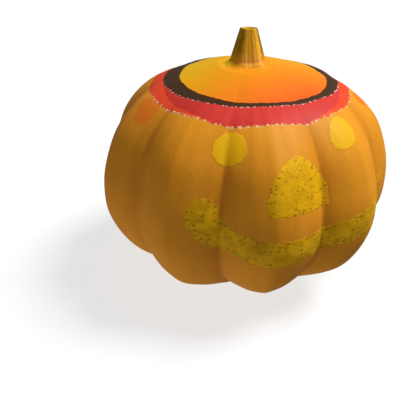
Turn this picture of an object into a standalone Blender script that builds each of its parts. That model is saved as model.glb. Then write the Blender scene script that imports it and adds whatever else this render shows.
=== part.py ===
"""A whole ribbed pumpkin that stands on its own base, with a short cut stem.

Metres, +Z up. The origin is the centre of the small flat spot that the fruit rests on, the stem stands on
the Z axis, and the front of the fruit faces -Y. An azimuth runs from -Y towards +X. Each piece is a UV
sphere whose poles and rings are moved onto the piece's own outline, and then drawn in at its grooves.
"""

import math

import bpy
import numpy as np

# The fruit's overall sizes. The radius is from the axis to the crest of a rib, at the widest level, and the
# height is from the resting spot to the seat of the stem.
FRUIT_RADIUS = 0.130
FRUIT_HEIGHT = 0.1955
REST_RADIUS = 0.033

# The crest of a rib from the seat of the stem down to the resting spot, as shares of FRUIT_RADIUS and
# FRUIT_HEIGHT. A smooth curve runs through these points.
CREST_SHARES = (
    (0.43, 0.956),
    (0.67, 0.897),
    (0.865, 0.779),
    (0.967, 0.630),
    (1.00, 0.495),
    (0.977, 0.360),
    (0.86, 0.209),
    (0.675, 0.104),
    (0.47, 0.030),
)

# The ribs. One groove runs GROOVE_AZIMUTH to the right of the front. The lobe power shapes a rib's cross
# section: 1 makes two flat flanks with a sharp crest, and 2 a round lobe.
RIB_COUNT = 9
GROOVE_DEPTH = 0.0125
GROOVE_AZIMUTH = math.radians(11.1)
LOBE_POWER = 1.5

# Where the grooves grow and fade, as shares of the way along a crest from the seat to the resting spot.
GROOVE_STARTS = 0.12
GROOVE_IS_FULL = 0.44
GROOVE_SHALLOWS = 0.78
GROOVE_ENDS = 1.00

# The stem, measured up from the seat: a tapered shaft with a flared foot, cut level at the top.
STEM_HEIGHT = 0.0297
STEM_TOP_RADIUS = 0.0076
STEM_BASE_RADIUS = 0.0144
FLARE_HEIGHT = 0.0064
FOOT_RADIUS = 0.0241
FOOT_EDGE = 0.0015
STEM_RIDGES = 5
RIDGE_AZIMUTH = math.radians(20.0)
RIDGE_SHARE = 0.11  # how far the stem is drawn in between two ridges, as a share of its radius

# The fruit's level seat reaches this far past the stem's foot. The two pieces keep a gap between them.
SEAT_MARGIN = 0.0010
SEAT_GAP = 0.0003

# How finely the forms are divided: around a rib and a ridge, and along the outlines
SEGMENTS_PER_RIB = 8
STEPS_PER_SPAN = 3
SEGMENTS_PER_RIDGE = 8
SHAFT_STEPS = 4
FLARE_STEPS = 5

# Base colour, roughness and metallic of each finish
SKIN_FINISH = ((0.62, 0.26, 0.045, 1.0), 0.45, 0.0)
STEM_FINISH = ((0.42, 0.29, 0.05, 1.0), 0.70, 0.0)


def clear_scene():
    for item in list(bpy.data.objects):
        bpy.data.objects.remove(item, do_unlink=True)


def open_collection(name):
    """A new collection that takes the objects added from here on."""
    bpy.context.scene.collection.children.link(bpy.data.collections.new(name))
    bpy.context.view_layer.active_layer_collection = bpy.context.view_layer.layer_collection.children[name]


def material(name, finish):
    colour, roughness, metallic = finish
    made = bpy.data.materials.new(name)
    made.use_nodes = True
    shader = made.node_tree.nodes["Principled BSDF"]
    shader.inputs["Base Color"].default_value = colour
    shader.inputs["Roughness"].default_value = roughness
    shader.inputs["Metallic"].default_value = metallic
    made.diffuse_color = colour
    return made


def smooth_step(low, high, x):
    """0 below low, 1 above high, and 3t^2 - 2t^3 between them."""
    t = np.clip((x - low) / (high - low), 0.0, 1.0)
    return t * t * (3.0 - 2.0 * t)


def smooth_line(points, steps):
    """A Catmull-Rom curve through the points, with so many steps from each point to the next."""
    points = np.array(points)
    ends = np.vstack([points[:1], points, points[-1:]])
    before, start, end, after = ends[:-3], ends[1:-2], ends[2:-1], ends[3:]
    t = (np.arange(steps) / steps)[:, None, None]
    square = 2 * before - 5 * start + 4 * end - after
    cube = 3 * (start - end) + after - before
    line = start + 0.5 * t * (end - before + t * (square + t * cube))
    return np.vstack([line.transpose(1, 0, 2).reshape(-1, 2), points[-1:]])


def share_along(outline):
    """How far each point is along an outline, from 0 at its first point to 1 at its last."""
    length = np.concatenate([[0.0], np.cumsum(np.hypot(*np.diff(outline, axis=0).T))])
    return length / length[-1]


def outward_normals(outline):
    """Unit normals of an outline that runs from the top down its outer side."""
    run, drop = np.gradient(outline, axis=0).T
    return np.stack([-drop, run], axis=1) / np.hypot(run, drop)[:, None]


def turned_form(name, outline, inset, segments, turn, finish):
    """A closed form from a UV sphere. Pole and ring number i take the radius and height of the outline's
    point i, less the radius and height of inset(i, angle). The first meridian stands at azimuth turn."""
    bpy.ops.mesh.primitive_uv_sphere_add(segments=segments, ring_count=len(outline) - 1)
    piece = bpy.context.object
    piece.name = name
    mesh = piece.data
    mesh.name = name
    sphere = np.empty(3 * len(mesh.vertices))
    mesh.vertices.foreach_get("co", sphere)
    x, y, z = sphere.reshape(-1, 3).T
    ring = np.rint(np.arccos(np.clip(z, -1.0, 1.0)) / math.pi * (len(outline) - 1)).astype(int)
    angle = np.arctan2(y, x)
    radius, height = (outline[ring] - inset(ring, angle)).T
    azimuth = angle + turn
    placed = np.stack([radius * np.sin(azimuth), -radius * np.cos(azimuth), height], axis=1)
    mesh.vertices.foreach_set("co", placed.ravel())
    mesh.update()
    mesh.shade_smooth()
    mesh.set_sharp_from_angle(angle=math.radians(40.0))
    mesh.materials.append(material(name, finish))
    return piece


def pumpkin_fruit():
    """The grown fruit: a level seat on top, lobes with grooves between them, and a flat resting spot."""
    crest_points = [(FOOT_RADIUS + SEAT_MARGIN, FRUIT_HEIGHT)]
    crest_points += [(FRUIT_RADIUS * across, FRUIT_HEIGHT * up) for across, up in CREST_SHARES]
    crest_points += [(REST_RADIUS, 0.0)]
    crest = smooth_line(crest_points, STEPS_PER_SPAN)
    outline = np.vstack([(0.0, FRUIT_HEIGHT), crest, (0.0, 0.0)])
    normals = outward_normals(outline)
    share = share_along(crest)
    growth = smooth_step(GROOVE_STARTS, GROOVE_IS_FULL, share)
    fade = smooth_step(GROOVE_SHALLOWS, GROOVE_ENDS, share)
    depth = np.concatenate([[0.0], GROOVE_DEPTH * growth * (1.0 - fade), [0.0]])
    rib_width = 2.0 * math.pi / RIB_COUNT

    def inset(ring, angle):
        """Along the outward normal: the whole depth in a groove, and nothing at a crest."""
        from_crest = np.abs(2.0 * np.mod(angle / rib_width, 1.0) - 1.0)
        return (depth[ring] * from_crest**LOBE_POWER)[:, None] * normals[ring]

    segments = RIB_COUNT * SEGMENTS_PER_RIB
    return turned_form("pumpkin_fruit", outline, inset, segments, GROOVE_AZIMUTH, SKIN_FINISH)


def pumpkin_stem():
    """The woody stem: a straight tapered shaft that curves out into a foot, with ridges all the way down."""
    down_shaft = np.linspace(0.0, 1.0, SHAFT_STEPS, endpoint=False)
    shaft_radius = STEM_TOP_RADIUS + (STEM_BASE_RADIUS - STEM_TOP_RADIUS) * down_shaft
    shaft_height = STEM_HEIGHT + (FLARE_HEIGHT - STEM_HEIGHT) * down_shaft
    bend = np.linspace(0.0, math.pi / 2.0, FLARE_STEPS + 1)
    flare_radius = STEM_BASE_RADIUS + (FOOT_RADIUS - STEM_BASE_RADIUS) * (1.0 - np.cos(bend))
    flare_height = FOOT_EDGE + (FLARE_HEIGHT - FOOT_EDGE) * (1.0 - np.sin(bend))
    radius = np.concatenate([[0.0], shaft_radius, flare_radius, [FOOT_RADIUS, 0.0]])
    height = np.concatenate([[STEM_HEIGHT], shaft_height, flare_height, [0.0, 0.0]])
    outline = np.stack([radius, height], axis=1)

    def inset(ring, angle):
        """Straight towards the axis: a share of the radius between two ridges, and nothing on a ridge."""
        valley = 0.5 - 0.5 * np.cos(STEM_RIDGES * angle)
        return np.stack([RIDGE_SHARE * valley * radius[ring], np.zeros(len(ring))], axis=1)

    segments = STEM_RIDGES * SEGMENTS_PER_RIDGE
    stem = turned_form("pumpkin_stem", outline, inset, segments, RIDGE_AZIMUTH, STEM_FINISH)
    stem.location.z = FRUIT_HEIGHT + SEAT_GAP
    return stem


def parent_to_origin(name, pieces):
    """An empty at the origin that carries the pieces, so that the whole object moves as one."""
    origin = bpy.data.objects.new(name, None)
    bpy.context.view_layer.active_layer_collection.collection.objects.link(origin)
    for piece in pieces:
        piece.parent = origin


clear_scene()
open_collection("pumpkin")
parent_to_origin("pumpkin_origin", (pumpkin_fruit(), pumpkin_stem()))
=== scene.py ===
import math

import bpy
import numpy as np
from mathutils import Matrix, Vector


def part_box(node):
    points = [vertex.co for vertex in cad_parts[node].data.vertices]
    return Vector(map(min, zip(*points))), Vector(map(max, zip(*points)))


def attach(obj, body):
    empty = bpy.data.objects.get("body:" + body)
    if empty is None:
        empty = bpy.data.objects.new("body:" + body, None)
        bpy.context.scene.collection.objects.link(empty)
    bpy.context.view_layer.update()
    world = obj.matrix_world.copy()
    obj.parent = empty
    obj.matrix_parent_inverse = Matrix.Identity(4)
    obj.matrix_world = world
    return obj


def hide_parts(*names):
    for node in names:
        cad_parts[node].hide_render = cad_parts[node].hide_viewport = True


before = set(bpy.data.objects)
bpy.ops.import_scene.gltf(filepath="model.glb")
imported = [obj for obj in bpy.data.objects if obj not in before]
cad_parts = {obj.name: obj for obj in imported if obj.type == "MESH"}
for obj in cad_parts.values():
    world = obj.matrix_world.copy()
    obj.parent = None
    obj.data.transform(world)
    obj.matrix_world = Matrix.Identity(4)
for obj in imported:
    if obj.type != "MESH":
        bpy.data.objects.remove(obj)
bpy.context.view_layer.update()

# A ribbed pumpkin that stands on its own base, with a short cut stem, a painted cap and a painted smile.
# Metres. The origin is the middle of the resting spot, +Z is up, and the painted face looks towards -Y.
# An azimuth is an angle round the axis from the front, -Y, towards +X.


# ---- The view and the studio -------------------------------------------------------------------------
# The camera stands a little to the left of the painted face and looks down on it. The pumpkin stands on a
# wide white floor that glows a little, as a light table does. A big soft lamp stands high on the right, and
# a weak one shines up through the floor from low on the left, as a white card there would.

CAMERA_AZIMUTH = math.radians(-20.9)
CAMERA_REACH = 0.491  # from the pumpkin's axis, level
CAMERA_HEIGHT = 0.3487
CAMERA_HEADING = math.radians(-17.2)
CAMERA_DIP = math.radians(31.2)
LENS = 50.8
FARTHEST_SEEN = 20.0

WHITE = (1.0, 1.0, 1.0, 1.0)
FLOOR_SIDE = 12.0
FLOOR_COLOUR = (0.26, 0.26, 0.26, 1.0)
FLOOR_ROUGHNESS = 0.9
FLOOR_GLOW = 0.73
# Each lamp: its azimuth and height in degrees, its strength, and how wide it looks, in degrees
LAMPS = {"key_lamp": (80.0, 57.0, 3.9, 24.0), "low_lamp": (-80.0, -47.0, 1.2, 90.0)}
ROOM_LIGHT = 0.14  # how bright the room looks to the pumpkin, and then to the camera
ROOM_BACKGROUND = 1.0


def add_to_scene(name, data):
    """A new object for this data, in the scene's own collection."""
    made = bpy.data.objects.new(name, data)
    bpy.context.scene.collection.objects.link(made)
    return made


camera = add_to_scene("camera", bpy.data.cameras.new("camera"))
camera.data.lens = LENS
camera.data.clip_end = FARTHEST_SEEN
camera.location = (
    math.sin(CAMERA_AZIMUTH) * CAMERA_REACH,
    -math.cos(CAMERA_AZIMUTH) * CAMERA_REACH,
    CAMERA_HEIGHT,
)
camera.rotation_euler = (math.pi / 2.0 - CAMERA_DIP, 0.0, CAMERA_HEADING)
bpy.context.scene.camera = camera

for name, (lamp_azimuth, lamp_height, strength, width) in LAMPS.items():
    lamp = add_to_scene(name, bpy.data.lights.new(name, "SUN"))
    lamp.data.energy = strength
    lamp.data.angle = math.radians(width)
    lamp.rotation_euler = (math.radians(90.0 - lamp_height), 0.0, math.radians(lamp_azimuth))
    lamp.visible_glossy = lamp_height > 0.0  # the weak one leaves no highlight

room = bpy.data.worlds.new("studio")
room.use_nodes = True
bpy.context.scene.world = room
bpy.context.scene.view_settings.view_transform = "Standard"
room_nodes, room_links = room.node_tree.nodes, room.node_tree.links
seen_by_pumpkin = room_nodes["Background"]
seen_by_camera = room_nodes.new("ShaderNodeBackground")
choice = room_nodes.new("ShaderNodeMixShader")
for background, brightness in ((seen_by_pumpkin, ROOM_LIGHT), (seen_by_camera, ROOM_BACKGROUND)):
    background.inputs["Color"].default_value = WHITE
    background.inputs["Strength"].default_value = brightness
room_links.new(room_nodes.new("ShaderNodeLightPath").outputs["Is Camera Ray"], choice.inputs[0])
room_links.new(seen_by_pumpkin.outputs[0], choice.inputs[1])
room_links.new(seen_by_camera.outputs[0], choice.inputs[2])
room_links.new(choice.outputs[0], room_nodes["World Output"].inputs["Surface"])

floor_mesh = bpy.data.meshes.new("floor")
half = FLOOR_SIDE / 2.0
floor_corners = [(-half, -half, 0.0), (half, -half, 0.0), (half, half, 0.0), (-half, half, 0.0)]
floor_mesh.from_pydata(floor_corners, [], [(0, 1, 2, 3)])
floor_finish = bpy.data.materials.new("white_floor")
floor_finish.use_nodes = True
floor_shader = floor_finish.node_tree.nodes["Principled BSDF"]
floor_shader.inputs["Base Color"].default_value = FLOOR_COLOUR
floor_shader.inputs["Roughness"].default_value = FLOOR_ROUGHNESS
floor_shader.inputs["Specular IOR Level"].default_value = 0.0
floor_shader.inputs["Emission Color"].default_value = WHITE
floor_shader.inputs["Emission Strength"].default_value = FLOOR_GLOW
floor_mesh.materials.append(floor_finish)
floor = add_to_scene("floor", floor_mesh)
# It takes the pumpkin's shadow, but throws no light back on it and doesn't stop the low lamp's light
floor.visible_diffuse = False
floor.visible_glossy = False
floor.visible_shadow = False


# ---- The fruit ---------------------------------------------------------------------------------------
# The grown fruit is one piece of flesh under a thin waxy skin: nine ribs between grooves, a level seat
# that the stem grows from, and a worn flat spot with the blossom's scar that it rests on. It is one closed
# surface, a rib's profile carried round the axis, and its skin has a cap and a face painted on by hand.

fruit_low, fruit_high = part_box("pumpkin_fruit")
stem_low, stem_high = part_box("pumpkin_stem")
FRUIT_HEIGHT = fruit_high.z
FRUIT_RADIUS = -fruit_low.x  # the crest of one rib points to -X
FOOT_RADIUS = stem_high.x  # one toe of the stem's foot points to +X
SEAT_MARGIN = 0.0010
SEAT_RADIUS = FOOT_RADIUS + SEAT_MARGIN
REST_RADIUS = 0.0330

# The crest of a rib from the seat down to the resting spot, as shares of the fruit's radius and height
CREST_SHARES = (
    (0.43, 0.956),
    (0.67, 0.897),
    (0.865, 0.779),
    (0.967, 0.630),
    (1.00, 0.495),
    (0.977, 0.360),
    (0.86, 0.209),
    (0.675, 0.104),
    (0.47, 0.030),
)

RIB_COUNT = 9
RIB_WIDTH = 2.0 * math.pi / RIB_COUNT
GROOVE_AZIMUTH = math.radians(11.1)
GROOVE_DEPTH = 0.0125
LOBE_POWER = 1.5

# Where the grooves grow and fade, as shares of the way down a crest from the seat to the resting spot
GROOVE_STARTS = 0.12
GROOVE_IS_FULL = 0.44
GROOVE_SHALLOWS = 0.78
GROOVE_ENDS = 1.00

# Small relief that the skin has besides its grooves, and the shares of the same way between which it
# grows and fades
CAP_FURROW = 0.0006  # the grooves run on under the painted cap as faint furrows
FURROW_GROWS = (0.0, 0.10)
VEIN_DEPTH = 0.00022  # shallow lines that run along each rib
VEINS_PER_RIB = 5
UNEVENNESS = 0.0008
UNEVEN_WAVES = (1, 2, 3, 5, 7, 11)  # how many of each go round the fruit
UNEVEN_TURN = 6.0  # the most that a wave turns on the way down, in radians
UNEVEN_SEED = 4
RELIEF_GROWS = (0.02, 0.25)
RELIEF_FADES = (0.85, 0.97)
SCAR_RADIUS = 0.0065
SCAR_DEPTH = 0.0012
HOLLOW_SHARE = 0.6  # the wide hollow's share of the scar's depth

FRUIT_COLUMNS = 360
FRUIT_STEPS_PER_SPAN = 15
SEAT_RINGS = 5
UNDER_RINGS = 20


def smooth_step(low, high, x):
    """0 below low, 1 above high, and 3t^2 - 2t^3 between them."""
    t = np.clip((x - low) / (high - low), 0.0, 1.0)
    return t * t * (3.0 - 2.0 * t)


def smooth_line(points, steps):
    """A Catmull-Rom curve through the points, with so many steps from each point to the next."""
    points = np.array(points)
    ends = np.vstack([points[:1], points, points[-1:]])
    before, start, end, after = ends[:-3], ends[1:-2], ends[2:-1], ends[3:]
    t = (np.arange(steps) / steps)[:, None, None]
    square = 2 * before - 5 * start + 4 * end - after
    cube = 3 * (start - end) + after - before
    line = start + 0.5 * t * (end - before + t * (square + t * cube))
    return np.vstack([line.transpose(1, 0, 2).reshape(-1, 2), points[-1:]])


def length_along(line):
    """How far each point is along a line, from 0 at its first point."""
    return np.concatenate([[0.0], np.cumsum(np.hypot(*np.diff(line, axis=0).T))])


def outward_normals(line):
    """Unit normals of a profile that runs from the top down its outer side."""
    run, drop = np.gradient(line, axis=0).T
    return np.stack([-drop, run], axis=1) / np.hypot(run, drop)[:, None]


def turned_points(radius, height, azimuth):
    """Points at (radius sin azimuth, -radius cos azimuth, height), for arrays of one shape."""
    return np.stack([radius * np.sin(azimuth), -radius * np.cos(azimuth), height], axis=-1)


def closed_piece(name, rings, top, bottom):
    """A smooth closed mesh over rings of points, the upper ring first and each anticlockwise from above,
    with a fan of triangles from the top point to the first ring and from the bottom point to the last."""
    rows, columns = rings.shape[:2]
    here = np.arange(rows * columns).reshape(rows, columns)
    beside = np.roll(here, -1, axis=1)
    quads = np.stack([here[:-1], here[1:], beside[1:], beside[:-1]], axis=-1).reshape(-1, 4)
    top_point = np.full(columns, rows * columns)
    upper_fan = np.stack([top_point, here[0], beside[0]], axis=-1)
    lower_fan = np.stack([top_point + 1, beside[-1], here[-1]], axis=-1)
    points = np.vstack([rings.reshape(-1, 3), top, bottom])
    mesh = bpy.data.meshes.new(name)
    mesh.from_pydata(points, [], quads.tolist() + upper_fan.tolist() + lower_fan.tolist())
    mesh.shade_smooth()
    return add_to_scene(name, mesh)


def point_values(piece, name, values):
    """A number at each point of a piece, which its material can read by this name."""
    made = piece.data.attributes.new(name, "FLOAT", "POINT")
    made.data.foreach_set("value", np.asarray(values, dtype=np.float32).ravel())


def fruit_piece():
    """Each ring of the fruit follows the crest's profile, drawn in along the profile's outward normal by
    the groove's depth times the distance from the rib's crest to the power LOBE_POWER, and a little more
    by the furrows, the veins along the ribs and a slow unevenness. Nothing stands proud of the crest."""
    crest_points = [(SEAT_RADIUS, FRUIT_HEIGHT)]
    crest_points += [(FRUIT_RADIUS * across, FRUIT_HEIGHT * up) for across, up in CREST_SHARES]
    crest_points += [(REST_RADIUS, 0.0)]
    crest = smooth_line(crest_points, FRUIT_STEPS_PER_SPAN)
    seat_radius = SEAT_RADIUS * np.linspace(0.1, 0.9, SEAT_RINGS)
    seat = np.stack([seat_radius, np.full(SEAT_RINGS, FRUIT_HEIGHT)], axis=1)
    under_radius = REST_RADIUS * np.linspace(0.95, 0.03, UNDER_RINGS)
    under = np.stack([under_radius, scar_height(under_radius)], axis=1)
    profile = np.vstack([seat, crest, under])
    down = length_along(crest)
    down = np.concatenate([seat_radius - SEAT_RADIUS, down, down[-1] + REST_RADIUS - under_radius])
    share = np.clip(down / length_along(crest)[-1], 0.0, 1.0)

    angle = np.linspace(0.0, 2.0 * math.pi, FRUIT_COLUMNS, endpoint=False)
    along_rib = np.mod(angle / RIB_WIDTH, 1.0)
    from_crest = np.abs(2.0 * along_rib - 1.0)
    growth = smooth_step(GROOVE_STARTS, GROOVE_IS_FULL, share)
    fade = 1.0 - smooth_step(GROOVE_SHALLOWS, GROOVE_ENDS, share)
    furrow = CAP_FURROW * smooth_step(*FURROW_GROWS, share) * (1.0 - growth)
    groove = (GROOVE_DEPTH * growth * fade + furrow)[:, None] * from_crest**LOBE_POWER
    vein = 0.5 + 0.5 * np.cos(2.0 * math.pi * VEINS_PER_RIB * along_rib)
    relief = VEIN_DEPTH * vein + UNEVENNESS * unevenness(share[:, None], angle)
    swell = smooth_step(*RELIEF_GROWS, share) * (1.0 - smooth_step(*RELIEF_FADES, share))
    inset = groove + swell[:, None] * relief

    normals = outward_normals(profile)
    radius = profile[:, :1] - inset * normals[:, :1]
    height = profile[:, 1:] - inset * normals[:, 1:]
    rings = turned_points(radius, height, angle + GROOVE_AZIMUTH)
    fruit = closed_piece("painted_fruit", rings, (0.0, 0.0, FRUIT_HEIGHT), (0.0, 0.0, SCAR_DEPTH))
    down_points = np.repeat(down, FRUIT_COLUMNS)
    point_values(fruit, "down_crest", np.append(down_points, [-SEAT_RADIUS, down[-1] + REST_RADIUS]))
    point_values(fruit, "groove", np.append(np.tile(from_crest, len(share)), [0.0, 0.0]))
    return fruit


def scar_height(radius):
    """The underside rises from its level rim to the blossom's scar in two soft steps: the wide hollow's
    share of the depth, and the scar's."""
    hollow = 1.0 - smooth_step(0.2 * REST_RADIUS, REST_RADIUS, radius)
    scar = 1.0 - smooth_step(0.4 * SCAR_RADIUS, SCAR_RADIUS, radius)
    return SCAR_DEPTH * (HOLLOW_SHARE * hollow + (1.0 - HOLLOW_SHARE) * scar)


def unevenness(share, angle):
    """0 to 1: the mean of sine waves round the fruit, whose phases turn in proportion to the way down."""
    draw = np.random.default_rng(UNEVEN_SEED)
    mean = 0.0
    for waves in UNEVEN_WAVES:
        phase, turn = draw.uniform(0.0, 2.0 * math.pi), draw.uniform(-UNEVEN_TURN, UNEVEN_TURN)
        mean = mean + np.sin(waves * angle + phase + turn * share) / len(UNEVEN_WAVES)
    return 0.5 + 0.5 * mean


fruit = fruit_piece()


# The skin's own colours and the paints on it. The cap is painted in rings: a disc that turns from yellow to
# orange, a near-black ring, and a band that is crimson inside and red outside, with white dabs on its edges.
SKIN_ORANGE = (0.80, 0.310, 0.016, 1.0)
SKIN_DEEP = (0.62, 0.205, 0.008, 1.0)
SKIN_PALE = (0.88, 0.400, 0.034, 1.0)
SKIN_BLUSH = (0.84, 0.135, 0.016, 1.0)
GROUND_SPOT = (0.80, 0.520, 0.180, 1.0)
CORK = (0.34, 0.220, 0.110, 1.0)
DISC_ORANGE = (0.88, 0.115, 0.013, 1.0)
DISC_YELLOW = (0.84, 0.460, 0.004, 1.0)
RING_BLACK = (0.060, 0.027, 0.010, 1.0)
RING_BROWN = (0.11, 0.055, 0.022, 1.0)
BAND_CRIMSON = (0.65, 0.043, 0.035, 1.0)
BAND_PAINTED_SHADE = (0.50, 0.030, 0.022, 1.0)
BAND_RED = (0.80, 0.070, 0.022, 1.0)
DAB_PINK = (0.86, 0.500, 0.470, 1.0)
DAB_CREAM = (0.92, 0.580, 0.300, 1.0)
FACE_YELLOW = (0.87, 0.460, 0.004, 1.0)
FACE_OCHRE = (0.60, 0.305, 0.002, 1.0)
FACE_SPECK = (0.37, 0.155, 0.003, 1.0)


class Wire:
    """One output of a node. Python's operators on wires of numbers add Math nodes."""

    def __init__(self, socket):
        self.socket = socket

    @staticmethod
    def node(tree, kind, settings=(), inputs=(), output=0):
        """Adds a node of this kind, makes its settings, then gives its sockets their values or links."""
        made = tree.nodes.new(kind)
        for name, value in dict(settings).items():
            setattr(made, name, value)
        for name, value in dict(inputs).items():
            if isinstance(value, Wire):
                tree.links.new(value.socket, made.inputs[name])
            else:
                made.inputs[name].default_value = value
        return Wire(made.outputs[output])

    def math(self, operation, *others):
        """This Math operation on this wire and the others."""
        tree = self.socket.id_data
        return Wire.node(tree, "ShaderNodeMath", {"operation": operation}, enumerate((self, *others)))

    def __add__(self, other):
        return self.math("ADD", other)

    def __radd__(self, other):
        return self.math("ADD", other)

    def __sub__(self, other):
        return self.math("SUBTRACT", other)

    def __rsub__(self, other):
        return (self * -1.0).math("ADD", other)

    def __mul__(self, other):
        return self.math("MULTIPLY", other)

    def __rmul__(self, other):
        return self.math("MULTIPLY", other)

    def __truediv__(self, other):
        return self.math("DIVIDE", other)

    def __pow__(self, other):
        return self.math("POWER", other)


class Surface:
    """A material in the making: its coordinates, and the colour, roughness and relief laid on so far."""

    def __init__(self, name):
        self.material = bpy.data.materials.new(name)
        self.material.use_nodes = True
        self.tree = self.material.node_tree
        self.shader = self.tree.nodes["Principled BSDF"]
        self.place = self.node("ShaderNodeTexCoord", output="Object")
        self.x, self.y, self.z = (
            self.node("ShaderNodeSeparateXYZ", inputs={0: self.place}, output=axis) for axis in "XYZ"
        )

    def node(self, kind, settings=(), inputs=(), output=0):
        """One output of a new node in this material."""
        return Wire.node(self.tree, kind, settings, inputs, output)

    def attribute(self, name):
        """The number that the piece holds under this name at each point."""
        return self.node("ShaderNodeAttribute", {"attribute_name": name}, output="Fac")

    def vector(self, x, y, z):
        """A place made up of three numbers."""
        return self.node("ShaderNodeCombineXYZ", inputs={0: x, 1: y, 2: z})

    def ramp(self, value, low, high):
        """0 where the value is low and 1 where it is high, with a smooth step between them."""
        inputs = {0: value, 1: low, 2: high}
        return self.node("ShaderNodeMapRange", {"interpolation_type": "SMOOTHSTEP"}, inputs)

    def noise(self, size, detail=2.0, place=None):
        """0 to 1: cloudy noise whose patches are about this size."""
        inputs = {"Vector": place or self.place, "Scale": 1.0 / size, "Detail": detail}
        return self.node("ShaderNodeTexNoise", inputs=inputs)

    def cells(self, size, place=None):
        """Voronoi cells of about this size: the distance to the nearest cell's middle, as a share of it."""
        inputs = {"Vector": place or self.place, "Scale": 1.0 / size}
        return self.node("ShaderNodeTexVoronoi", inputs=inputs, output="Distance")

    def blend(self, mask, under, over):
        """One colour over another, by the mask."""
        inputs = {0: mask, 6: under, 7: over}
        return self.node("ShaderNodeMix", {"data_type": "RGBA"}, inputs, output=2)

    def start(self, colour, roughness, relief):
        """The bare surface, before any coat is laid. Its relief is in metres."""
        self.colour, self.roughness, self.relief = colour, roughness, relief

    def lay(self, mask, colour, roughness, relief):
        """Puts a coat over what is there, where the mask is 1. Its relief is its thickness, in metres."""
        self.colour = self.blend(mask, self.colour, colour)
        self.roughness = self.roughness + mask * (roughness - self.roughness)
        self.relief = self.relief + mask * relief

    def finish(self):
        """Feeds the shader with what has been laid."""
        bump = self.node("ShaderNodeBump", inputs={"Distance": 1.0, "Height": self.relief})
        for name, wire in (("Base Color", self.colour), ("Roughness", self.roughness), ("Normal", bump)):
            self.tree.links.new(wire.socket, self.shader.inputs[name])
        return self.material


def length_of(a, b):
    """The length of the vector (a, b)."""
    return (a * a + b * b) ** 0.5


skin = Surface("painted_skin")
from_axis = length_of(skin.x, skin.y)
azimuth = skin.x.math("ARCTAN2", skin.y * -1.0)
down = skin.attribute("down_crest")
groove = skin.attribute("groove")

# The bare skin: orange, deeper in the grooves and paler in small flecks and in streaks along the ribs,
# with a faint orange-peel relief. A pale worn patch surrounds the corky scar underneath. Sizes and depths
# are in metres, and the two levels of a ramp are where its mask turns from off to on.
STREAK_SIZE = 0.0035
STREAK_ROUND = 0.12  # the streaks' pattern lies on a ring of this radius,
STREAK_ALONG = 0.10  # and is read this much slower down a rib, so that a streak is ten times as long as wide
STREAK_DEPTH = 0.00010
BLOTCH_SIZE = 0.030
FLECK_SIZE = 0.0042
FLECK_PATCH_SIZE = 0.012
FLECK_DEPTH = 0.00003
PEEL_SIZE = 0.0035
PEEL_DEPTH = 0.00016
PORE_SIZE = 0.0008
PORE_DEPTH = 0.00003
WORN_EDGE = (0.030, 0.075)  # the worn patch fades out between these distances from the axis,
SCAR_EDGE = (0.005, 0.009)  # and the scar between these
UNDERSIDE = (0.004, 0.020)  # the underside ends between these heights
CORK_SIZE = 0.0015
CORK_DEPTH = 0.0004

streak_place = skin.vector(
    skin.x / from_axis * STREAK_ROUND,
    skin.y / from_axis * STREAK_ROUND,
    down * STREAK_ALONG,
)
streaks = skin.noise(STREAK_SIZE, 3.0, streak_place)
blotches = skin.noise(BLOTCH_SIZE, 3.0)
flecks = 1.0 - skin.ramp(skin.cells(FLECK_SIZE), 0.10, 0.22)
fleck_patches = skin.ramp(skin.noise(FLECK_PATCH_SIZE), 0.45, 0.62)
skin_colour = skin.blend(skin.ramp(groove, 0.55, 1.0) * 0.45, SKIN_ORANGE, SKIN_DEEP)
skin_colour = skin.blend(skin.ramp(blotches, 0.35, 0.75) * 0.25, skin_colour, SKIN_DEEP)
skin_colour = skin.blend(skin.ramp(streaks, 0.45, 0.80) * 0.30, skin_colour, SKIN_PALE)
skin_colour = skin.blend(flecks * fleck_patches * 0.30, skin_colour, SKIN_PALE)
peel = skin.noise(PEEL_SIZE, 2.0) * PEEL_DEPTH + skin.noise(PORE_SIZE, 2.0) * PORE_DEPTH
skin_roughness = skin.noise(0.02, 3.0) * 0.12 + 0.46
skin.start(skin_colour, skin_roughness, peel + streaks * STREAK_DEPTH - flecks * FLECK_DEPTH)
worn = 1.0 - skin.ramp(from_axis + (blotches - 0.5) * 0.03, *WORN_EDGE)
underneath = 1.0 - skin.ramp(skin.z, *UNDERSIDE)
skin.lay(worn * underneath * 0.8, GROUND_SPOT, roughness=0.62, relief=0.0)
scar = 1.0 - skin.ramp(from_axis + (streaks - 0.5) * 0.004, *SCAR_EDGE)
skin.lay(scar * underneath, CORK, roughness=0.85, relief=skin.noise(CORK_SIZE, 4.0) * CORK_DEPTH)

# The edges of every painted shape wander a little, and are ragged where one dab of paint meets the next.
BRUSH_EDGE = 0.00025  # how soft a brushed edge is, and then a sponged one
SPONGE_EDGE = 0.0005
THICK_COAT = 0.00012
THIN_COAT = 0.00008
BRISTLE_DEPTH = 0.00012
WANDER_SIZE = 0.012
WANDER = 0.0030
RAGGED_SIZE = 0.0022
RAGGED = 0.0012

wander = (skin.noise(WANDER_SIZE, 2.0) - 0.5) * WANDER
ragged = (skin.noise(RAGGED_SIZE, 1.0) - 0.5) * RAGGED


def painted(outside, edge=BRUSH_EDGE):
    """The mask of a painted shape, from the distance to its outline, which is above 0 outside it."""
    return 1.0 - skin.ramp(outside + wander + ragged, -edge, edge)


def oval(middle_x, middle_y, half_x, half_y):
    """Seen from above, the distance outside an oval with this middle and these half lengths."""
    share_out = length_of((skin.x - middle_x) / half_x, (skin.y - middle_y) / half_y)
    return (share_out - 1.0) * (0.5 * (half_x + half_y))


def across(middle, radius):
    """The distance round the fruit from this azimuth, where the fruit has this radius."""
    return (azimuth - middle) * radius


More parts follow.
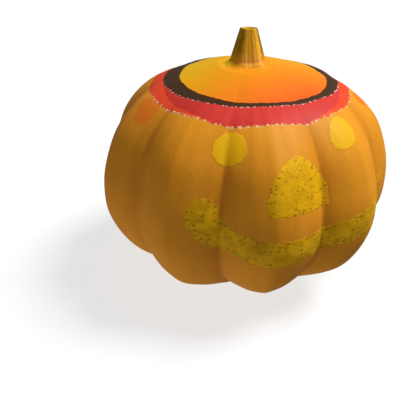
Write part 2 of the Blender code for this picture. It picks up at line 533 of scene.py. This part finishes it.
# The cap's paints. Each outline is an oval: its middle's x and y, and its half lengths along them.
UPPER_HALF = (0.10, 0.12)  # the cap's paints start between these heights
BAND_OVAL = (0.0022, 0.0, 0.0853, 0.0853)
CRIMSON_OVAL = (-0.0010, -0.0128, 0.0730, 0.0730)
RING_OVAL = (0.0050, 0.00525, 0.0755, 0.07275)
DISC_OVAL = (0.0045, -0.0015, 0.0620, 0.0620)
DISC_FADE = (-0.068, 0.028)  # the disc turns from orange to yellow between these two places, front to back
DISC_FADE_SLANT = 0.25
BRISTLE_SIZE = 0.0022
BRUSH_RADIUS = 0.06  # the bristles' pattern is laid out on this radius

# Thin red paint has run a little below the band, at the left and at the right. Each run has an azimuth, a
# distance down the crest from the seat, and a half length.
RED_RUNS = ((-1.45, 0.070, 0.016), (1.20, 0.077, 0.010))
RUN_SQUASH = 1.15  # a run is this much shorter down the fruit than round it
SHOULDER_RADIUS = 0.105  # the fruit's radius at the runs and at the eyes

# White dabs follow both edges of the band, on its front half
FRONT_HALF = (0.012, -0.004)
RING_DAB = 0.00055  # how wide a dab is, on the ring's edge and on the band's
BAND_DAB = 0.00075
DAB_LENGTH = 0.0029
DAB_ROW_RADIUS = 0.080
DAB_GAPS = 0.014  # the row is sparse in patches of this size
DAB_SWAY_SIZE = 0.0032
DAB_SWAY = 0.0022
DAB_COAT = 0.00015

upper_half = skin.ramp(skin.z, *UPPER_HALF)
band_edge = oval(*BAND_OVAL)
ring_edge = oval(*RING_OVAL)

blush = 0.0
for run_azimuth, run_down, run_half in RED_RUNS:
    run_out = length_of(across(run_azimuth, SHOULDER_RADIUS), (down - run_down) * RUN_SQUASH) / run_half
    blush = blush + skin.ramp(run_out + (blotches - 0.5) * 1.6 + (streaks - 0.5) * 0.5, 1.05, 0.7)
skin.lay(blush * 0.6, SKIN_BLUSH, roughness=0.45, relief=0.0)

brushing = skin.noise(BRISTLE_SIZE, 3.0, skin.vector(azimuth * BRUSH_RADIUS, from_axis, 0.0))
# Painted shade: the crimson darkens towards the band's left, the side away from the key lamp
crimson = skin.blend(skin.ramp(azimuth, -0.55, -0.95) * 0.6, BAND_CRIMSON, BAND_PAINTED_SHADE)
band_colour = skin.blend(painted(oval(*CRIMSON_OVAL)), BAND_RED, crimson)
band_colour = skin.blend(skin.ramp(brushing, 0.40, 0.75) * 0.25, band_colour, BAND_RED)
band_relief = brushing * BRISTLE_DEPTH + THICK_COAT
skin.lay(painted(band_edge) * upper_half, band_colour, roughness=0.50, relief=band_relief)
ring_colour = skin.blend(skin.ramp(brushing, 0.45, 0.80) * 0.5, RING_BLACK, RING_BROWN)
skin.lay(painted(ring_edge) * upper_half, ring_colour, roughness=0.38, relief=THIN_COAT)
back_from_front = skin.y - skin.x * DISC_FADE_SLANT + (blotches - 0.5) * 0.016
fade_back = (back_from_front - DISC_FADE[0]) / (DISC_FADE[1] - DISC_FADE[0])
yellowness = (fade_back + (brushing - 0.5) * 0.20).math("MAXIMUM", 0.0).math("MINIMUM", 1.0)
disc_colour = skin.blend(yellowness, DISC_ORANGE, DISC_YELLOW)
skin.lay(painted(oval(*DISC_OVAL)) * upper_half, disc_colour, roughness=0.42, relief=THIN_COAT)

dab_row = skin.noise(DAB_LENGTH, 2.0, skin.vector(azimuth * DAB_ROW_RADIUS, 0.0, 0.0))
dab_row = dab_row + (skin.noise(DAB_GAPS, 1.0) - 0.5) * 0.22
dab_sway = (skin.noise(DAB_SWAY_SIZE, 1.0) - 0.5) * DAB_SWAY
front_half = skin.ramp(skin.y, *FRONT_HALF) * upper_half
for edge, dab_width, dab_colour in ((ring_edge, RING_DAB, DAB_PINK), (band_edge, BAND_DAB, DAB_CREAM)):
    on_edge = skin.ramp((edge + wander + dab_sway).math("ABSOLUTE"), dab_width * 1.4, dab_width * 0.6)
    dab_mask = on_edge * skin.ramp(dab_row, 0.50, 0.57) * front_half
    skin.lay(dab_mask, dab_colour, roughness=0.60, relief=DAB_COAT)

# The face is dabbed on with a sponge, in yellow: two round eyes, a rounded three-cornered nose, and a wide
# smile that ends lower at its left tip. The skin shows through as dark specks, few of them on the eyes.
# Each place is an azimuth and a distance down the crest from the seat.
EYE_AZIMUTH = math.radians(27.5)
EYE_DOWN = 0.0820
EYE_RADIUS = 0.0140
RIGHT_EYE_SHIFT = 0.006  # how much nearer the middle the right eye is, in radians
RIGHT_EYE_LEAN = 0.20  # it leans left by this share of the way down it
NOSE_RADIUS = 0.118  # the fruit's radius at the nose
NOSE_AZIMUTH = math.radians(0.5)
NOSE_BOTTOM = 0.1355
NOSE_BEND = 0.0430  # the radius of each of the nose's two bowed sides
NOSE_BEND_AT = (0.0155, 0.1280)
NOSE_ROUNDING = 0.0070
SMILE_RADIUS = 0.128  # the fruit's radius at the smile
SMILE_AZIMUTH = math.radians(8.9)
SMILE_DOWN = 0.1285
SMILE_HALF = (0.0995, 0.0395)
SMILE_TILT = -0.066
SMILE_WIDTH = 0.0247
SMILE_CUT = (0.1265, 0.18)  # its right end stops at a slanting line: how far down that runs, and its slope
SMILE_STRETCH = (0.048, 0.15)  # its right end reaches further, from here on and by this share
SCALLOP_SIZE = 0.0042  # the sponge leaves small bites along the edges
SPECK_SIZE = 0.0027
SPECK_CROWD_SIZE = 0.0075
SPONGE_SIZE = 0.010
GRIT_SIZE = 0.0020
GRIT_DEPTH = 0.00014
SPECK_DEPTH = 0.00005

left_eye = length_of(across(-EYE_AZIMUTH, SHOULDER_RADIUS), down - EYE_DOWN) - EYE_RADIUS
right_across = across(EYE_AZIMUTH - RIGHT_EYE_SHIFT, SHOULDER_RADIUS) + (down - EYE_DOWN) * RIGHT_EYE_LEAN
right_eye = length_of(right_across, down - EYE_DOWN) - EYE_RADIUS
eyes = left_eye.math("MINIMUM", right_eye)

nose_across = across(NOSE_AZIMUTH, NOSE_RADIUS)
nose_down = down - NOSE_BEND_AT[1]
left_side = length_of(nose_across - NOSE_BEND_AT[0], nose_down) - NOSE_BEND
right_side = length_of(nose_across + NOSE_BEND_AT[0], nose_down) - NOSE_BEND
nose = left_side.math("SMOOTH_MAX", right_side, NOSE_ROUNDING)
nose = nose.math("SMOOTH_MAX", down - NOSE_BOTTOM, NOSE_ROUNDING)

# The smile is a band of even width round the lower half of a wide oval: the distance from the oval's line
# is found from how far out a place is, as a share of the oval, and from how fast that share grows there
smile_across = across(SMILE_AZIMUTH, SMILE_RADIUS)
smile_across = smile_across - (smile_across - SMILE_STRETCH[0]).math("MAXIMUM", 0.0) * SMILE_STRETCH[1]
smile_down = down - SMILE_DOWN - smile_across * SMILE_TILT
smile_sag = smile_down.math("MAXIMUM", 0.0)
smile_from = smile_across.math("ABSOLUTE") + 0.0001
half_across, half_down = SMILE_HALF
oval_share = length_of(smile_from / half_across, smile_sag / half_down)
oval_slope = length_of(smile_from / half_across**2, smile_sag / half_down**2)
from_line = (oval_share - 1.0) * oval_share / oval_slope
past_end = smile_down.math("MINIMUM", 0.0)
smile = length_of(from_line, past_end) - SMILE_WIDTH / 2.0
smile = smile.math("MAXIMUM", SMILE_CUT[0] + smile_across * SMILE_CUT[1] - down)

face = eyes.math("MINIMUM", nose).math("MINIMUM", smile)
in_front = skin.ramp(skin.y, 0.0, -0.010)
scallops = skin.cells(SCALLOP_SIZE)
face = face + (scallops - 0.40) * (skin.ramp(eyes, -0.003, 0.003) * 0.0022 + 0.0010)
off_eyes = skin.ramp(eyes, -0.002, 0.001)
near_edge = skin.ramp(face, -0.007, 0.0)

# The specks are drawn out along a slant, and crowd together in places and near the edges
crowding = skin.noise(SPECK_CROWD_SIZE, 2.0) + near_edge * 0.15 - 0.04
speck_place = skin.vector(azimuth * 0.084 - down * 0.42, azimuth * 0.052 + down * 1.05, 0.0)
speck_reach = skin.cells(SPECK_SIZE, place=speck_place) + (skin.noise(0.0018, 2.0) - 0.5) * 0.60
specks = skin.ramp(speck_reach, 0.50, 0.12) * skin.ramp(crowding, 0.40, 0.58)
specks = specks * (off_eyes * 0.88 + 0.12)

sponge = skin.noise(SPONGE_SIZE, 3.0)
# The sponge leaves ochre mottling on the nose and smile; the smile's further darker ochre is painted shade
ochre_mottle_and_smile_shade = off_eyes * 0.45 + skin.ramp(smile, 0.004, -0.001) * 0.35
face_colour = skin.blend(skin.ramp(sponge, 0.36, 0.66) * ochre_mottle_and_smile_shade, FACE_YELLOW, FACE_OCHRE)
face_colour = skin.blend(specks, face_colour, FACE_SPECK)
grit = skin.noise(GRIT_SIZE, 3.0)
face_relief = grit * GRIT_DEPTH - specks * SPECK_DEPTH + THICK_COAT
skin.lay(painted(face, SPONGE_EDGE) * in_front, face_colour, roughness=0.52, relief=face_relief)

SKIN_SHINE = 0.12
skin.shader.inputs["Specular IOR Level"].default_value = SKIN_SHINE
fruit.data.materials.append(skin.finish())
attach(fruit, "root")
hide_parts("pumpkin_fruit")


# ---- The stem ----------------------------------------------------------------------------------------
# A short woody stem that was cut off nearly level. It has five ridges, tapers upwards, and spreads at the
# foot into toes that have grown fast to the fruit. It is one closed surface, turned round the axis.

STEM_SEAT = stem_low.z
STEM_TOP = stem_high.z
STEM_TOP_RADIUS = 0.0076
STEM_BASE_RADIUS = 0.0144
FLARE_HEIGHT = 0.0064
FOOT_SINKS = 0.0004  # the foot's edge lies this far under the level of the CAD foot, just inside the skin
STEM_RIDGES = 5
RIDGE_AZIMUTH = math.radians(20.0)
RIDGE_SHARE = 0.11  # how far the stem is drawn in between two ridges, as a share of its radius
RIM_ROUNDING = 0.0006
PITH_DEPTH = 0.0011
PITH_EDGE = (0.0015, 0.0065)  # the hollow over the pith ends between these distances from the axis
CUT_SLOPE = 0.10  # the cut is a little higher at its front
CUT_FRONT = math.radians(-20.9)
CUT_SLOPE_FADES = 4  # the power of the height with which that slope fades, down the shaft
FIBRE_DEPTH = 0.00022
FIBRE_WAVES = range(17, 32, 2)  # how many of each go round the stem
FIBRE_HEIGHT = 0.25  # one wave's share of the depth
FIBRE_LEAN = 60.0  # the most that a wave turns on the way up, in radians to the metre
FIBRE_SEED = 9
FOOT_IS_SMOOTHER = 0.8  # the share of the fibres' depth that is gone at the foot's edge

STEM_COLUMNS = 360
CUT_RINGS = 14
RIM_STEPS = 5
SHAFT_RINGS = 38
FLARE_RINGS = 22
UNDER_SHARES = (1.0, 0.6, 0.1)

STEM_GOLD_PAINTED_LIGHT = (0.93, 0.500, 0.028, 1.0)
STEM_TAN = (0.62, 0.335, 0.014, 1.0)
STEM_OLIVE = (0.22, 0.155, 0.002, 1.0)
STEM_BARK = (0.20, 0.105, 0.012, 1.0)
FOOT_PAINTED_LIGHT = (1.00, 0.500, 0.080, 1.0)
FOOT_OLIVE = (0.70, 0.400, 0.008, 1.0)
FOOT_ORANGE = (0.80, 0.260, 0.015, 1.0)
FOOT_LINE = (0.16, 0.060, 0.012, 1.0)
CUT_YELLOW = (0.72, 0.400, 0.020, 1.0)
CUT_CORK = (0.40, 0.240, 0.020, 1.0)
PITH_BROWN = (0.24, 0.140, 0.016, 1.0)


def stem_piece():
    """A profile turned round the axis, drawn in between the ridges by a share of its radius and at each
    fibre by a fraction of a millimetre. The profile runs from the pith's hollow over a rounded rim, down
    the straight shaft and round a quarter of an ellipse to the foot's edge, then in underneath. The edge
    lies just inside the fruit's skin, so that the foot runs out into the fruit with no step. Near the cut
    the heights rise towards its front, in proportion to the distance and to a power of the height."""
    height_over_seat = STEM_TOP - STEM_SEAT
    cut_radius = (STEM_TOP_RADIUS - RIM_ROUNDING) * np.linspace(0.08, 1.0, CUT_RINGS)
    cut_height = height_over_seat - PITH_DEPTH * (1.0 - smooth_step(*PITH_EDGE, cut_radius))
    turn = np.linspace(0.0, math.pi / 2.0, RIM_STEPS + 1)[1:]
    rim_radius = STEM_TOP_RADIUS - RIM_ROUNDING * (1.0 - np.sin(turn))
    rim_height = height_over_seat - RIM_ROUNDING * (1.0 - np.cos(turn))
    down_shaft = np.linspace(0.0, 1.0, SHAFT_RINGS + 2)[1:-1]
    shaft_radius = STEM_TOP_RADIUS + (STEM_BASE_RADIUS - STEM_TOP_RADIUS) * down_shaft
    shaft_height = rim_height[-1] + (FLARE_HEIGHT - rim_height[-1]) * down_shaft
    bend = np.linspace(0.0, math.pi / 2.0, FLARE_RINGS)
    flare_radius = STEM_BASE_RADIUS + (FOOT_RADIUS - STEM_BASE_RADIUS) * (1.0 - np.cos(bend))
    flare_height = FLARE_HEIGHT - (FLARE_HEIGHT + FOOT_SINKS) * np.sin(bend)
    under_radius = FOOT_RADIUS * np.array(UNDER_SHARES)
    under_height = np.full(len(UNDER_SHARES), -2.0 * FOOT_SINKS)
    radius = np.concatenate([cut_radius, rim_radius, shaft_radius, flare_radius, under_radius])
    height = np.concatenate([cut_height, rim_height, shaft_height, flare_height, under_height])

    angle = np.linspace(0.0, 2.0 * math.pi, STEM_COLUMNS, endpoint=False)
    valley = 0.5 - 0.5 * np.cos(STEM_RIDGES * angle)
    draw = np.random.default_rng(FIBRE_SEED)
    fibre = np.zeros((len(radius), STEM_COLUMNS))
    for waves in FIBRE_WAVES:
        phase, lean = draw.uniform(0.0, 2.0 * math.pi), draw.uniform(-FIBRE_LEAN, FIBRE_LEAN)
        fibre += FIBRE_HEIGHT * np.sin(waves * angle + phase + lean * height[:, None])
    on_side = smooth_step(0.5 * STEM_TOP_RADIUS, STEM_TOP_RADIUS, radius)
    on_foot = smooth_step(STEM_BASE_RADIUS, FOOT_RADIUS, radius)
    fibred = (on_side * (1.0 - FOOT_IS_SMOOTHER * on_foot))[:, None]
    inset = FIBRE_DEPTH * np.clip(0.5 + 0.5 * fibre, 0.0, 1.0) * fibred
    ring_radius = radius[:, None] * (1.0 - RIDGE_SHARE * valley) - inset
    rise = CUT_SLOPE * ring_radius * np.cos(angle + RIDGE_AZIMUTH - CUT_FRONT)
    near_cut = np.clip(height / height_over_seat, 0.0, 1.0) ** CUT_SLOPE_FADES
    ring_height = height[:, None] + STEM_SEAT + near_cut[:, None] * rise
    rings = turned_points(ring_radius, ring_height, angle + RIDGE_AZIMUTH)
    top = (0.0, 0.0, STEM_TOP - PITH_DEPTH)
    stem = closed_piece("woody_stem", rings, top, (0.0, 0.0, STEM_SEAT - 2.0 * FOOT_SINKS))
    point_values(stem, "valley", np.append(np.tile(valley, len(radius)), [0.0, 0.0]))
    on_cut = (np.arange(len(radius)) < CUT_RINGS).astype(float)
    point_values(stem, "cut", np.append(np.repeat(on_cut, STEM_COLUMNS), [1.0, 0.0]))
    return stem


stem = stem_piece()

# The wood is fibrous all along: olive and tan at the left, gold in front, which is painted light, and barky
# at the right, which is painted shade. Its foot is paler, which is painted light too. The tones follow the
# azimuth, in radians, and mix in patches.
FIBRE_SIZE = 0.0011
FIBRE_ROUND = 0.012  # the fibres' pattern lies on a ring of this radius,
FIBRE_ALONG = 0.12  # and is read this much slower up the stem
WOOD_DEPTH = 0.0004
PATCH_SIZE = 0.006
PATCH_DEPTH = 0.0002
FOOT_TONE_RISES = (0.0150, 0.0030)

wood = Surface("dry_stem")
stem_valley = wood.attribute("valley")
cut_face = wood.attribute("cut")
stem_from_axis = length_of(wood.x, wood.y)
stem_up = wood.z - STEM_SEAT
fibre_place = wood.vector(
    wood.x / stem_from_axis * FIBRE_ROUND,
    wood.y / stem_from_axis * FIBRE_ROUND,
    stem_up * FIBRE_ALONG,
)
fibres = wood.noise(FIBRE_SIZE, 4.0, fibre_place)
patches = wood.noise(PATCH_SIZE, 3.0)
stem_azimuth = wood.x.math("ARCTAN2", wood.y * -1.0) + (patches - 0.5) * 0.5
# Painted light: a gold band down the stem's front, brighter than the lamps make it
painted_light_front = wood.ramp(stem_azimuth, -0.95, -0.45) * wood.ramp(stem_azimuth, 1.00, 0.60)
wood_colour = wood.blend(wood.ramp(fibres, 0.35, 0.65), STEM_OLIVE, STEM_TAN)
wood_colour = wood.blend(painted_light_front, wood_colour, STEM_GOLD_PAINTED_LIGHT)
# Painted shade: the stem's right edge is darkened towards bark
wood_colour = wood.blend(wood.ramp(stem_azimuth, 0.55, 1.0) * 0.6, wood_colour, STEM_BARK)
wood_colour = wood.blend(wood.ramp(stem_valley, 0.4, 1.0) * 0.15, wood_colour, STEM_TAN)
wood_colour = wood.blend(wood.ramp(fibres, 0.52, 0.75) * 0.15, wood_colour, STEM_OLIVE)
wood_colour = wood.blend(wood.ramp(patches, 0.62, 0.80) * 0.3, wood_colour, STEM_BARK)
# Painted light: the foot's middle is made pale, as if the flare faced up into the lamp, between an olive left
# and an orange right
foot_tone = wood.blend(wood.ramp(stem_azimuth, -1.3, -0.5), FOOT_OLIVE, FOOT_PAINTED_LIGHT)
foot_tone = wood.blend(wood.ramp(stem_azimuth, 0.3, 0.9), foot_tone, FOOT_ORANGE)
near_foot = wood.ramp(stem_up + (fibres - 0.5) * 0.004, *FOOT_TONE_RISES) ** 1.3
wood_colour = wood.blend(near_foot, wood_colour, foot_tone)

# The disc's paint runs up over the foot, as far as a fine dotted line. The line is a rounded diamond: the
# shares of its two half diagonals, each raised to a power, add up to 1 on it.
FOOT_LIES = math.radians(20.9)  # how far its longer diagonal is turned from +X towards -Y
FOOT_DIAGONALS = (0.0226, 0.0158)  # half of each
DIAMOND_POWER = 1.6
DOT_SIZE = 0.0016
DOT_WIDTH = (0.035, 0.010)

foot_along = (wood.x * math.cos(FOOT_LIES) - wood.y * math.sin(FOOT_LIES)) / FOOT_DIAGONALS[0]
foot_across = (wood.x * math.sin(FOOT_LIES) + wood.y * math.cos(FOOT_LIES)) / FOOT_DIAGONALS[1]
foot_sum = foot_along.math("ABSOLUTE") ** DIAMOND_POWER + foot_across.math("ABSOLUTE") ** DIAMOND_POWER
foot_out = foot_sum ** (1.0 / DIAMOND_POWER) + (wood.noise(0.004, 2.0) - 0.5) * 0.10
foot_yellowness = wood.ramp(wood.y, DISC_FADE[0], DISC_FADE[1])
foot_paint = wood.blend(foot_yellowness, DISC_ORANGE, DISC_YELLOW)
wood_colour = wood.blend(wood.ramp(foot_out, 0.85, 1.0), wood_colour, foot_paint)
dots = wood.ramp(wood.noise(DOT_SIZE, 1.0), 0.50, 0.58)
foot_line = wood.ramp((foot_out - 1.0).math("ABSOLUTE"), *DOT_WIDTH) * dots
wood_colour = wood.blend(foot_line * 0.8, wood_colour, FOOT_LINE)
wood.start(wood_colour, fibres * 0.2 + 0.55, fibres * WOOD_DEPTH + patches * PATCH_DEPTH)

# The cut shows corky wood with fine rays, yellow at the left, round a brown pith
RAY_SIZE = 0.0012
RAY_DEPTH = 0.0004
PITH_RADIUS = (0.0035, 0.0015)

rays = wood.noise(RAY_SIZE, 4.0)
cut_colour = wood.blend(wood.ramp(wood.x + (patches - 0.5) * 0.006, -0.001, 0.004), CUT_YELLOW, CUT_CORK)
cut_colour = wood.blend(wood.ramp(rays, 0.45, 0.75) * 0.6, cut_colour, STEM_BARK)
cut_colour = wood.blend(wood.ramp(stem_from_axis, *PITH_RADIUS), cut_colour, PITH_BROWN)
wood.lay(cut_face, cut_colour, roughness=0.85, relief=rays * RAY_DEPTH)

WOOD_SHINE = 0.1
wood.shader.inputs["Specular IOR Level"].default_value = WOOD_SHINE
stem.data.materials.append(wood.finish())
stem.visible_shadow = False  # in this soft light its shadow on the cap would look hard
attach(stem, "root")
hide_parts("pumpkin_stem")
